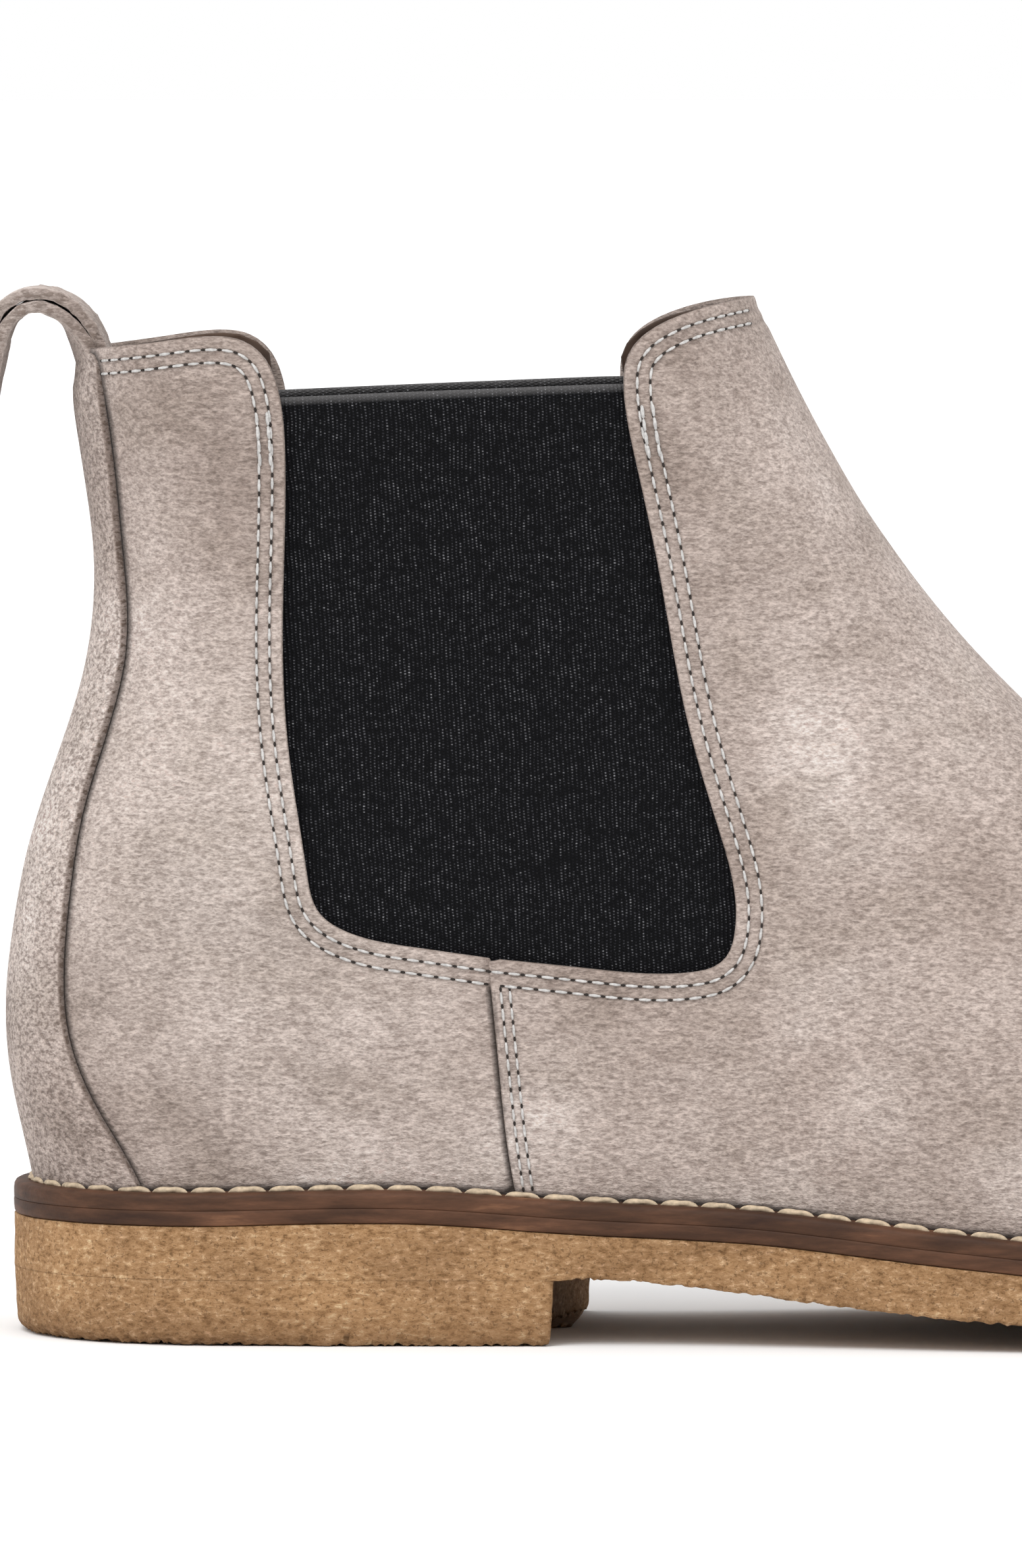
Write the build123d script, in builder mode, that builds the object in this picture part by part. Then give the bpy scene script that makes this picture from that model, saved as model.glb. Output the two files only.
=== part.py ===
from build123d import *
import os
import numpy as np

# Chelsea boot, right foot: suede upper with elastic side gussets, stitched welt and crepe sole.
# +X points to the toe, +Y to the medial (inner) side, +Z up; the lateral (outer) side is -Y.
# The origin is on the ground, under the middle of the heel.

# ---------------------------------------------------------------- driving dimensions (mm)
SOLE_BACK = -40.0           # back end of the sole
SOLE_FRONT = 262.0          # front end of the sole
HEEL_TIP = -35.5            # back of the upper where it meets the welt
TOE_TIP = 257.5             # front of the upper
TOE_WALL = TOE_TIP - 4      # front end of the toe puff and the lining
SUEDE = 1.6                 # thickness of the outer leather
MIDDLE = 1.1                # elastic and stiffeners
LINING = 0.9
BACKSTAY = 1.5
UPPER = SUEDE + MIDDLE + LINING
WELT = 2.8
MIDSOLE = 2.5
HEEL_HEIGHT = 10.6
WELT_LEDGE = 4.5            # how far the welt stands out past the upper
WELT_INSIDE = 7.0           # how far the welt runs in under the upper
INSOLE = 2.5
SOCK = 1.2
HEEL_PAD = 2.0
HEEL_BREAST = 48.8          # front of the heel block at its lateral corner
HEEL_BREAST_MEDIAL = 55.0   # and at its medial corner
BREAST_HOLLOW = 5.0         # how far the breast curves back
TAB_WIDTH = 24.0
TAB_THICKNESS = 4.4         # two layers of suede
SEAT_PLAY = 0.08            # play between the upper's edge and the welt
GAP = 0.2                   # play between layers that lie on each other
INNER_PLAY = 1.4            # play round the insole
PAD_FRONT = 28.0            # front end of the heel pad
PAD_RAMP = 26.0             # length over which the sock comes down in front of it
PAD_PLAY = 0.2              # left between the pad and the sock
SHANK_BACK = 4.0
SHANK_FRONT = 108.0
SHANK_WIDTH = 15.0
SHANK_THICKNESS = 1.2
SHANK_LIFT = 0.8
BREAST_HALF = 33.0          # half the heel breast's width
# middle line of the folded tab; it turns about its first point
TAB_LINE = [(-28.5, 161.8), (-30.6, 165.2), (-35.6, 167.0), (-40.4, 164.6), (-42.8, 159), (-43.8, 152.5),
            (-45.4, 145.5), (-47.9, 138), (-50.8, 131)]
ROOM = 80.0                 # more than half the boot's width
SIDE_POINTS = 13            # points along each side of a section of the last
TOP_PLANE = 192.0           # the last is made up to here, then the panels are cut to their toplines


# ---------------------------------------------------------------- smooth driving curves
def curve(points):
    """A natural cubic spline through the points, as a function; straight beyond both ends."""
    x, y = np.array(points, float).T
    n = len(x)
    step = np.diff(x)
    slope = np.diff(y) / step
    matrix = np.eye(n)
    right = np.zeros(n)
    for i in range(1, n - 1):
        matrix[i, i - 1:i + 2] = step[i - 1], 2 * (step[i - 1] + step[i]), step[i]
        right[i] = 6 * (slope[i] - slope[i - 1])
    bend = np.linalg.solve(matrix, right)

    def value(at):
        at = np.asarray(at, float)
        near = np.clip(at, x[0], x[-1])
        i = np.clip(np.searchsorted(x, near) - 1, 0, n - 2)
        a = near - x[i]
        b = x[i + 1] - near
        first = slope[0] - step[0] * (2 * bend[0] + bend[1]) / 6
        inside = (bend[i] * b**3 + bend[i + 1] * a**3) / (6 * step[i])
        inside = inside + (y[i] / step[i] - bend[i] * step[i] / 6) * b
        inside = inside + (y[i + 1] / step[i] - bend[i + 1] * step[i] / 6) * a
        end = slope[-1] + step[-1] * (bend[-2] + 2 * bend[-1]) / 6
        rate = np.where(at < x[0], first, end)
        return inside + rate * (at - near)

    return value


# Back of the shaft and heel, x at each height; the backstay lies outside it.
back = curve([(-8, -26), (10, -33), (25.4, -35.5), (38.2, -38.4), (51, -39.9), (63.8, -39.0), (76.6, -36.6),
              (89.4, -32.6), (102, -28.2), (115, -25.7), (125, -25.3), (140.5, -27.2), (156, -29.3),
              (175, -30.5), (192, -31.0)])
# Front of the shaft, instep and toe, height at each x.
ridge = curve([(68, 197), (73, 184.5), (80.3, 166.2), (86.4, 153.3), (93.4, 140.5), (101.7, 127.7),
               (111.5, 114.9), (123.2, 102.4), (138, 89.8), (155, 79), (175, 70.5), (197, 63.8), (218, 57),
               (234, 50), (246, 41.5), (253, 32.5), (257, 21), (258.5, 10)])
# Height of the welt's top face, where the upper starts.
FEATHER = [(-48, 24.5), (-5, 24.6), (28, 24.8), (50, 23.3), (80, 21.9), (107, 19.1), (122, 17.7),
           (150, 14.6), (174, 13.4), (205, 15.2), (235, 18.9), (272, 24.5)]
feather = curve(FEATHER)
# Half width of the foot part and of the shaft, and the sideways shift of the middle.
foot_width = curve([(-40, 31.5), (0, 31.8), (30, 31), (65, 30.5), (100, 36.5), (135, 44), (165, 46.8),
                    (190, 46.4), (215, 44.5), (260, 42)])
shaft_width = curve([(60, 30), (85, 28), (105, 27.2), (125, 27.8), (155, 29.6), (195, 30.5)])
middle = curve([(-40, 0), (0, 0), (60, -2.4), (110, -3.2), (150, -1.2), (190, 1.5), (230, 5.5), (262, 8.5)])
# How far in from the ridge the sides become upright.
vault = curve([(-40, 30), (80, 30), (110, 34), (150, 42), (195, 43), (225, 36), (245, 25), (258, 14)])
HEEL_ROUND = 31.0           # plan radius of the heel's back
TOE_ROUND = 72.0            # length over which the toe closes in plan
FLOOR_OF_LAST = -16.0       # the last's sections close here, well below the sole


def ellipse(part, power=2.15):
    """0 at the edge of a rounding to 1 where it ends."""
    near = 1 - np.clip(part, 0, 1)
    return np.clip(1 - near**power, 0, 1) ** (1 / power)


def from_ridge(x, z):
    """Distance under the ridge, square to it."""
    rise = (ridge(x + 0.5) - ridge(x - 0.5))
    return (ridge(x) - z) / np.hypot(1, rise)


def half_width(x, z, inset=0.0):
    """Half the boot's width at a point of the side view, for the surface that lies inset in."""
    share = np.clip((z - 42) / 66, 0, 1)
    share = share * share * (3 - 2 * share)
    toe = ellipse((TOE_TIP + 1.3 - inset - x) / (TOE_ROUND - inset), 2.3)
    low = (foot_width(x) - inset) * toe
    wide = low + share * (shaft_width(z) - inset - low)
    tuck = 1 - 0.045 * np.exp(-np.clip(z - feather(x), 0, 60) / 8)
    heel = ellipse((x - back(z) - inset) / (HEEL_ROUND - inset))
    top = ellipse((from_ridge(x, z) - inset) / (vault(x) - inset))
    bottom = ellipse((z - FLOOR_OF_LAST - inset) / 22)
    return wide * tuck * heel * top * bottom


# ---------------------------------------------------------------- the last: one form, at any depth
# Section planes fan out from the toe to the top. Each is given by where it starts, x and z, at the
# bottom or back, and the x and z that it passes through at the ridge.
FAN = [(TOE_TIP - 1.5, 0, TOE_TIP - 1.5, 30), (TOE_WALL, 0, TOE_WALL, 30),
       (TOE_TIP - 12, 0, TOE_TIP - 12, 40), (228, 0, 228, 52), (200, 0, 200, 63), (165, -10, 166, 75),
       (128, -10, 140, 89), (90, -10, 122, 104), (52, -10, 112, 114), (14, -12, 104, 124.6),
       (-24, -6, 97, 134.7), (-38.2, 37, 90, 146.5), (-36, 78, 84.5, 157.5), (-26, 113, 80.2, 166.5),
       (-27.5, 145, 76.5, 176), (-31, TOP_PLANE - 4, 71.6, TOP_PLANE - 4)]
REAR_PLANES = 5             # the rear panels are lofted from this plane on
OPEN = 2                    # points left out where a layer's section is open


def section_points(origin, direction, inset):
    """The medial half of a section, bottom to ridge, and its lateral half, back down again.

    Each point is (distance along the plane, y)."""
    along = np.linspace(-60, 260, 6001)
    x = origin[0] + along * direction[0]
    z = origin[1] + along * direction[1]
    depth = np.minimum(from_ridge(x, z), np.minimum(x - back(z), z - FLOOR_OF_LAST)) - inset
    here = int(np.argmax(depth))
    first = here - int(np.argmax(depth[here::-1] < 0))
    last = here + int(np.argmax(depth[here:] < 0))
    turn = np.linspace(0, np.pi, SIDE_POINTS + 1)
    span = along[first] + (along[last] - along[first]) * (1 - np.cos(turn)) / 2
    x = origin[0] + span * direction[0]
    z = origin[1] + span * direction[1]
    half = half_width(x, z, inset)
    half[0] = half[-1] = 0
    shift = middle(x)
    medial = list(zip(span, shift + half))
    lateral = list(zip(span, shift - half))
    return medial, lateral[::-1]


def skin(outer, inner, part, first=1):
    """One layer of the upper between two depths, lofted through the section planes from first on.

    part is the stretch of each section: "front" runs over the ridge and is open underneath, "rear"
    runs round the back and is open at the ridge, and "lateral" and "medial" are the two halves."""
    with BuildPart() as layer:
        for x, z, to_x, to_z in FAN[first:]:
            length = np.hypot(to_x - x, to_z - z)
            direction = ((to_x - x) / length, (to_z - z) / length)
            plane = Plane(origin=(x, 0, z), x_dir=(direction[0], 0, direction[1]),
                          z_dir=(-direction[1], 0, direction[0]))
            outside = stretch(section_points((x, z), direction, outer), part)
            inside = stretch(section_points((x, z), direction, inner), part)
            with BuildSketch(plane):
                with BuildLine():
                    Spline(*outside)
                    Line(outside[-1], inside[-1])
                    Spline(*inside[::-1])
                    Line(inside[0], outside[0])
                make_face()
        loft()
    return layer.part


def stretch(section, part):
    """The points of a section that a layer uses; its ends are left apart by OPEN points."""
    medial, lateral = section
    if part == "front":
        return medial[OPEN:] + lateral[1:-OPEN]
    if part == "rear":
        return lateral[OPEN:] + medial[1:-OPEN]
    if part == "lateral":
        return lateral
    return medial


def side_face(*runs):
    """A face in the side view: smooth runs of points, with straight lines from one to the next."""
    with BuildSketch(Plane.XZ) as view:
        with BuildLine():
            for run, following in zip(runs, runs[1:] + runs[:1]):
                if len(run) > 2:
                    Spline(*run)
                elif len(run) == 2:
                    Line(*run)
                if run[-1] != following[0]:
                    Line(run[-1], following[0])
        make_face()
    return view.sketch


def band(top, bottom, start=SOLE_BACK - 6, end=SOLE_FRONT + 6):
    """The side view of a layer of the sole, between two height curves."""
    stations = np.linspace(start, end, max(5, int((end - start) / 9)))
    upper = [(float(x), float(top(x))) for x in stations]
    lower = [(float(x), float(bottom(x))) for x in stations[::-1]]
    return side_face(upper, lower)


def sole_plan(margin):
    """The plan outline of the sole, moved out by margin from the upper's edge at the welt."""
    back_end = HEEL_TIP - margin
    front_end = TOE_TIP + margin
    turn = np.linspace(0, np.pi, 41)
    x = back_end + (front_end - back_end) * (1 - np.cos(turn)) / 2
    half = (foot_width(x) - 1 + margin) * ellipse((x - back_end) / (HEEL_ROUND + 3 + margin))
    half = half * ellipse((front_end - x) / (TOE_ROUND + margin), 2.3)
    half[0] = half[-1] = 0
    medial = list(zip(x, middle(x) + half))
    lateral = list(zip(x, middle(x) - half))
    with BuildSketch() as plan:
        with BuildLine():
            Spline(*medial, tangents=[(0, 1), (0, -1)])
            Spline(*lateral[::-1], tangents=[(0, -1), (0, 1)])
        make_face()
    return plan.sketch


BEYOND = 290.0              # past the toe
ABOVE = 190.0               # over the toplines


def panel(outer, inner, part, view, first=1):
    """A layer of the upper, trimmed to an outline in the side view."""
    with BuildPart() as piece:
        add(skin(outer, inner, part, first))
        extrude(view, amount=ROOM, both=True, mode=Mode.INTERSECT)
    return piece.part


def shifted(height, by):
    """A height curve moved up by a distance."""
    return lambda x: height(x) + by


def heel_raised(height, by):
    """A height curve lifted over the heel pad, with a soft ramp in front of the pad."""
    def value(x):
        share = np.clip((PAD_FRONT + PAD_RAMP - x) / PAD_RAMP, 0, 1)
        return height(x) + by * share * share * (3 - 2 * share)
    return value


def heel_plan():
    """The heel block's plan: open at the back, with its hollow breast at the front."""
    middle_x = (HEEL_BREAST + HEEL_BREAST_MEDIAL) / 2 - BREAST_HOLLOW
    with BuildSketch() as plan:
        with BuildLine():
            ThreePointArc((HEEL_BREAST, -BREAST_HALF), (middle_x, 0), (HEEL_BREAST_MEDIAL, BREAST_HALF))
            Polyline((HEEL_BREAST_MEDIAL, BREAST_HALF), (HEEL_BREAST_MEDIAL, ROOM), (SOLE_BACK - 5, ROOM),
                     (SOLE_BACK - 5, -ROOM), (HEEL_BREAST, -ROOM), (HEEL_BREAST, -BREAST_HALF))
        make_face()
    return plan.sketch


def shank_plan():
    """A flat spring steel strip along the waist."""
    with BuildSketch() as plan:
        with Locations(((SHANK_BACK + SHANK_FRONT) / 2, -1.5)):
            SlotOverall(SHANK_FRONT - SHANK_BACK, SHANK_WIDTH)
    return plan.sketch


def tab_view():
    """The folded tab's side view: a strip of even thickness along its middle line."""
    with BuildSketch(Plane.XZ) as view:
        with BuildLine():
            Spline(*TAB_LINE)
        trace(line_width=TAB_THICKNESS)
    return view.sketch


# ---------------------------------------------------------------- outlines in the side view, x and z
WINDOW_BACK = [(7.6, 75.8), (4.6, 95.9), (3.7, 114.8), (4.2, 141.3), (3.4, 151.2)]
WINDOW_BOTTOM = [(70.0, 59.7), (46.6, 60.7), (29, 62.8), (14.4, 65.6)]
WINDOW_FRONT = [(58.9, 154.2), (60.6, 142.4), (64.6, 123.5), (69.2, 99.5), (74.2, 82.3), (76.6, 72.5)]
BACK_CORNER = [WINDOW_BOTTOM[-1], (9.8, 68.6), WINDOW_BACK[0]]
FRONT_CORNER = [WINDOW_FRONT[-1], (75.6, 63.8), WINDOW_BOTTOM[0]]
BACK_TOPLINE = [(3.4, 151.2), (2.6, 154.4), (0.8, 157.9), (-2.7, 160.4), (-6.2, 161.0), (-9.7, 160.9),
                (-16.7, 160.0), (-26, 158.9), (-34, 158.0), (-50, 156.5)]
FLAP_TOPLINE = [(110, 169.5), (90, 168.3), (78.4, 167), (70, 165.2), (64.4, 162.9), (60.9, 160.2),
                (59.3, 157.4), (58.9, 154.2)]
SEAM = [(42.4, 18), (40.6, 30), (38.9, 45), (37.2, 61.85)]
BACKSTAY_EDGE = [(-17.8, 24.5), (-20.3, 28.1), (-27.8, 41.4), (-31.1, 54.1), (-30.7, 68.7), (-28.7, 82.6),
                 (-24.8, 95.8), (-21.4, 110), (-21.7, 126), (-23, 140), (-24.7, 151), (-26.5, 158.2)]


def feather_run(start, end):
    """The line along the top of the welt from one x to another."""
    count = max(3, int(abs(end - start) / 20) + 2)
    return [(float(x), float(feather(x)) + SEAT_PLAY) for x in np.linspace(start, end, count)]


seam_foot = feather_run(41.9, 60)[0]
seam_run = [seam_foot] + SEAM[1:]
quarter_view = side_face(BACK_TOPLINE, feather_run(-50, 41.9), seam_run, WINDOW_BOTTOM[2:], BACK_CORNER,
                         WINDOW_BACK)
vamp_view = side_face(FLAP_TOPLINE, WINDOW_FRONT, FRONT_CORNER, WINDOW_BOTTOM[:2], seam_run[::-1],
                      feather_run(41.9, BEYOND), [(BEYOND, ABOVE), (110, ABOVE)])
gusset_view = side_face([(-3.5, 150.8), (-3.9, 115), (-0.5, 74)], [(8, 60), (30, 54.5), (76, 51.5)],
                        [(84.5, 68), (76.5, 102), (66.5, 153.6)])
backstay_view = side_face(BACKSTAY_EDGE, [(-50, 156.5), (-50, 24.5)])
counter_view = side_face(feather_run(-50, 26), [(22, 44), (0, 56), (-20, 66), (-34, 71), (-50, 73)])
puff_view = side_face(feather_run(212, BEYOND), [(BEYOND, 90), (204, 90)])
outsole_bottom = curve([(57, HEEL_HEIGHT), (67, 9.8), (78, 8.6), (90, 7.1), (101, 6.0), (110, 5.1),
                        (122, 4.1), (138, 2.0), (150, 0.6), (158, 0.0)])
toe_spring = curve([(184, 0.0), (205, 1.2), (235, 5.0), (270, 11.0)])


def crepe_bottom(x):
    """Height of the outsole's under side: flat over the heel and at the ball, arched at the waist."""
    return np.where(x < 57, HEEL_HEIGHT, np.where(x < 158, outsole_bottom(x), np.where(
        x < 184, 0.0, toe_spring(x))))


def crepe_run(start, end, count):
    return [(float(x), float(crepe_bottom(x))) for x in np.linspace(start, end, count)]


outsole_top = [(float(x), float(feather(x) - WELT - MIDSOLE)) for x in np.linspace(-46, 268, 24)]
outsole_view = side_face(outsole_top, crepe_run(268, 184, 7), crepe_run(157.9, 57, 9),
                         [(57.0, HEEL_HEIGHT), (-46.0, HEEL_HEIGHT)])


def save(piece, name):
    """Label a finished piece and write it out."""
    piece.part.label = name
    export_step(piece.part, f"parts/{name}.step")


os.makedirs("parts", exist_ok=True)

# ---------------------------------------------------------------- outer leather
for name, side in (("quarter_lateral", "lateral"), ("quarter_medial", "medial")):
    with BuildPart() as quarter:
        add(panel(0, SUEDE - GAP, side, quarter_view, first=REAR_PLANES))
    save(quarter, name)

with BuildPart() as vamp:
    add(panel(0, SUEDE - GAP, "front", vamp_view, first=0))
save(vamp, "vamp")

with BuildPart() as backstay:
    add(panel(-BACKSTAY, -GAP, "rear", backstay_view, first=REAR_PLANES))
save(backstay, "backstay")

# ---------------------------------------------------------------- elastic and stiffeners
for name, side in (("gusset_lateral", "lateral"), ("gusset_medial", "medial")):
    with BuildPart() as gusset:
        add(panel(SUEDE, SUEDE + MIDDLE - GAP, side, gusset_view, first=REAR_PLANES))
    save(gusset, name)

with BuildPart() as heel_counter:
    add(panel(SUEDE, SUEDE + MIDDLE - GAP, "rear", counter_view, first=REAR_PLANES))
save(heel_counter, "heel_counter")

with BuildPart() as toe_puff:
    add(panel(SUEDE, SUEDE + MIDDLE - GAP, "front", puff_view))
save(toe_puff, "toe_puff")

# ---------------------------------------------------------------- linings
for name, side in (("quarter_lining_lateral", "lateral"), ("quarter_lining_medial", "medial")):
    with BuildPart() as quarter_lining:
        add(panel(SUEDE + MIDDLE, UPPER - GAP, side, quarter_view, first=REAR_PLANES))
    save(quarter_lining, name)

with BuildPart() as vamp_lining:
    add(panel(SUEDE + MIDDLE, UPPER - GAP, "front", vamp_view))
save(vamp_lining, "vamp_lining")

# ---------------------------------------------------------------- inside the foot
floor_top = shifted(feather, INSOLE)
sock_bottom = heel_raised(floor_top, HEEL_PAD)
with BuildPart() as insole_board:
    extrude(sole_plan(-UPPER - INNER_PLAY), amount=ABOVE)
    extrude(band(floor_top, feather), amount=ROOM, both=True, mode=Mode.INTERSECT)
save(insole_board, "insole_board")

with BuildPart() as heel_pad:
    extrude(sole_plan(-UPPER - INNER_PLAY - 3), amount=ABOVE)
    extrude(band(shifted(floor_top, HEEL_PAD - PAD_PLAY), floor_top, end=PAD_FRONT), amount=ROOM, both=True,
            mode=Mode.INTERSECT)
save(heel_pad, "heel_pad")

with BuildPart() as sock_liner:
    extrude(sole_plan(-UPPER - INNER_PLAY - 0.4), amount=ABOVE)
    extrude(band(shifted(sock_bottom, SOCK), sock_bottom), amount=ROOM, both=True, mode=Mode.INTERSECT)
save(sock_liner, "sock_liner")

# ---------------------------------------------------------------- sole
welt_bottom = shifted(feather, -WELT)
midsole_bottom = shifted(welt_bottom, -MIDSOLE)
with BuildPart() as welt:
    extrude(sole_plan(WELT_LEDGE), amount=ABOVE)
    extrude(sole_plan(-WELT_INSIDE), amount=ABOVE, mode=Mode.SUBTRACT)
    extrude(band(feather, welt_bottom), amount=ROOM, both=True, mode=Mode.INTERSECT)
save(welt, "welt")

with BuildPart() as shank:
    extrude(shank_plan(), amount=ABOVE)
    extrude(band(shifted(welt_bottom, SHANK_LIFT + SHANK_THICKNESS), shifted(welt_bottom, SHANK_LIFT)),
            amount=ROOM, both=True, mode=Mode.INTERSECT)
save(shank, "shank")

with BuildPart() as cork_filler:
    extrude(sole_plan(-WELT_INSIDE), amount=ABOVE)
    extrude(band(feather, welt_bottom), amount=ROOM, both=True, mode=Mode.INTERSECT)
    add(shank.part, mode=Mode.SUBTRACT)
save(cork_filler, "cork_filler")

with BuildPart() as midsole:
    extrude(sole_plan(WELT_LEDGE), amount=ABOVE)
    extrude(band(welt_bottom, midsole_bottom), amount=ROOM, both=True, mode=Mode.INTERSECT)
save(midsole, "midsole")

with BuildPart() as crepe_outsole:
    extrude(sole_plan(WELT_LEDGE), amount=ABOVE)
    extrude(outsole_view, amount=ROOM, both=True, mode=Mode.INTERSECT)
save(crepe_outsole, "crepe_outsole")

with BuildPart() as crepe_heel:
    extrude(sole_plan(WELT_LEDGE), amount=HEEL_HEIGHT)
    extrude(heel_plan(), amount=HEEL_HEIGHT, mode=Mode.INTERSECT)
save(crepe_heel, "crepe_heel")

# ---------------------------------------------------------------- pull tab
with BuildPart() as pull_tab:
    extrude(tab_view(), amount=TAB_WIDTH / 2, both=True)
save(pull_tab, "pull_tab")
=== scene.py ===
import math
import bpy
import numpy as np
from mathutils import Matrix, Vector, noise


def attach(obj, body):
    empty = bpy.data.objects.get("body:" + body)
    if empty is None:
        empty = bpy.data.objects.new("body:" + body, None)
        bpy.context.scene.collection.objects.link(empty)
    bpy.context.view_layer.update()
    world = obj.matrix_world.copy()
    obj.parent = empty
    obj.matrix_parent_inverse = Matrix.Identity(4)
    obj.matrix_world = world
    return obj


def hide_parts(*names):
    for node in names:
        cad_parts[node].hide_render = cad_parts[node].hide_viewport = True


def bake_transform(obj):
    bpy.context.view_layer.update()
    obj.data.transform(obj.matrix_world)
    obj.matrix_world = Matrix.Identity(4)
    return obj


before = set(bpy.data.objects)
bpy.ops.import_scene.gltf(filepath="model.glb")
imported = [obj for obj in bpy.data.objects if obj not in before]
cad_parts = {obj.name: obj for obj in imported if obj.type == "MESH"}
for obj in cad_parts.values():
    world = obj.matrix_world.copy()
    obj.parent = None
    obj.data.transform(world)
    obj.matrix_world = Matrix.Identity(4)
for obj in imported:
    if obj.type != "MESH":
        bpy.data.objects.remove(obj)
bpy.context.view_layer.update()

MM = 0.001

# ---- driving dimensions, mm, in the CAD frame
HEEL_TIP = -35.5
TOE_TIP = 257.5
HEEL_ROUND = 31.0
TOE_ROUND = 72.0
FLOOR_OF_LAST = -16.0
TOP_PLANE = 192.0
SUEDE = 1.6
UNDER_SUEDE = 1.75
UNDER_LINING = 2.85
BACKSTAY = 1.5
WELT = 2.8
MIDSOLE = 2.5
HEEL_HEIGHT = 10.6
WELT_LEDGE = 4.5
HEEL_BREAST = 48.8
HEEL_BREAST_MEDIAL = 55.0
BREAST_HOLLOW = 5.0
STITCH_PITCH = 2.7
STITCH_ROWS = (1.8, 3.9)
SEAM_ROWS = (1.25, 2.7)
ROWS_UNDER_WINDOW = 57.2    # height of the upper end of the seam's own stitches
# painted shade: the side seam's gap is drawn darkest over this width
SEAM_SHADE = 0.4             # the side seam's gap is darkest over this width
WELT_STITCH_PITCH = 6.3
STITCH_DIP = 0.22           # how deep a row of stitches pulls the suede in
SKIVE_FROM = 148.5          # the backstay is pared down from this height, over the run below
SKIVE_RUN = 9.0
SKIVE = 1.25
TAB_WIDTH = 24.0
TAB_LAYER = 1.9


def curve(points):
    """A natural cubic spline through the points, as a function; straight beyond both ends."""
    x, y = np.array(points, float).T
    n = len(x)
    step = np.diff(x)
    slope = np.diff(y) / step
    matrix = np.eye(n)
    right = np.zeros(n)
    for i in range(1, n - 1):
        matrix[i, i - 1:i + 2] = step[i - 1], 2 * (step[i - 1] + step[i]), step[i]
        right[i] = 6 * (slope[i] - slope[i - 1])
    bend = np.linalg.solve(matrix, right)

    def value(at):
        at = np.asarray(at, float)
        near = np.clip(at, x[0], x[-1])
        i = np.clip(np.searchsorted(x, near) - 1, 0, n - 2)
        a = near - x[i]
        b = x[i + 1] - near
        first = slope[0] - step[0] * (2 * bend[0] + bend[1]) / 6
        inside = (bend[i] * b**3 + bend[i + 1] * a**3) / (6 * step[i])
        inside = inside + (y[i] / step[i] - bend[i] * step[i] / 6) * b
        inside = inside + (y[i + 1] / step[i] - bend[i + 1] * step[i] / 6) * a
        end = slope[-1] + step[-1] * (bend[-2] + 2 * bend[-1]) / 6
        return inside + np.where(at < x[0], first, end) * (at - near)

    return value


back = curve([(-8, -26), (10, -33), (25.4, -35.5), (38.2, -38.4), (51, -39.9), (63.8, -39.0), (76.6, -36.6),
              (89.4, -32.6), (102, -28.2), (115, -25.7), (125, -25.3), (140.5, -27.2), (156, -29.3),
              (175, -30.5), (192, -31.0)])
ridge = curve([(68, 197), (73, 184.5), (80.3, 166.2), (86.4, 153.3), (93.4, 140.5), (101.7, 127.7),
               (111.5, 114.9), (123.2, 102.4), (138, 89.8), (155, 79), (175, 70.5), (197, 63.8), (218, 57),
               (234, 50), (246, 41.5), (253, 32.5), (257, 21), (258.5, 10)])
feather = curve([(-48, 24.5), (-5, 24.6), (28, 24.8), (50, 23.3), (80, 21.9), (107, 19.1), (122, 17.7),
                 (150, 14.6), (174, 13.4), (205, 15.2), (235, 18.9), (272, 24.5)])
foot_width = curve([(-40, 31.5), (0, 31.8), (30, 31), (65, 30.5), (100, 36.5), (135, 44), (165, 46.8),
                    (190, 46.4), (215, 44.5), (260, 42)])
shaft_width = curve([(60, 30), (85, 28), (105, 27.2), (125, 27.8), (155, 29.6), (195, 30.5)])
middle = curve([(-40, 0), (0, 0), (60, -2.4), (110, -3.2), (150, -1.2), (190, 1.5), (230, 5.5), (262, 8.5)])
vault = curve([(-40, 30), (80, 30), (110, 34), (150, 42), (195, 43), (225, 36), (245, 25), (258, 14)])
outsole_bottom = curve([(57, HEEL_HEIGHT), (67, 9.8), (78, 8.6), (90, 7.1), (101, 6.0), (110, 5.1),
                        (122, 4.1), (138, 2.0), (150, 0.6), (158, 0.0)])
toe_spring = curve([(184, 0.0), (205, 1.2), (235, 5.0), (270, 11.0)])


def crepe_bottom(x):
    """Height of the outsole's under side."""
    fore = np.where(x < 184, 0.0, toe_spring(x))
    return np.where(x < 57, HEEL_HEIGHT, np.where(x < 158, outsole_bottom(x), fore))


def lengths(line):
    """Length along a line of points, from its start to each of them."""
    return np.concatenate([[0], np.cumsum(np.linalg.norm(np.diff(line, axis=0), axis=1))])


def spread(steps, at, values):
    """Rows of values, known at the lengths at, interpolated at steps."""
    return np.stack([np.interp(steps, at, column) for column in values.T], 1)


def unit(vectors):
    """The same directions with a length of 1."""
    return vectors / (np.linalg.norm(vectors, axis=-1, keepdims=True) + 1e-9)


def ellipse(part, power=2.15):
    """0 at the edge of a rounding to 1 where it ends."""
    near = 1 - np.clip(part, 0, 1)
    return np.clip(1 - near**power, 0, 1) ** (1 / power)


def from_ridge(x, z):
    """Distance under the ridge, square to it."""
    rise = ridge(x + 0.5) - ridge(x - 0.5)
    return (ridge(x) - z) / np.hypot(1, rise)


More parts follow.
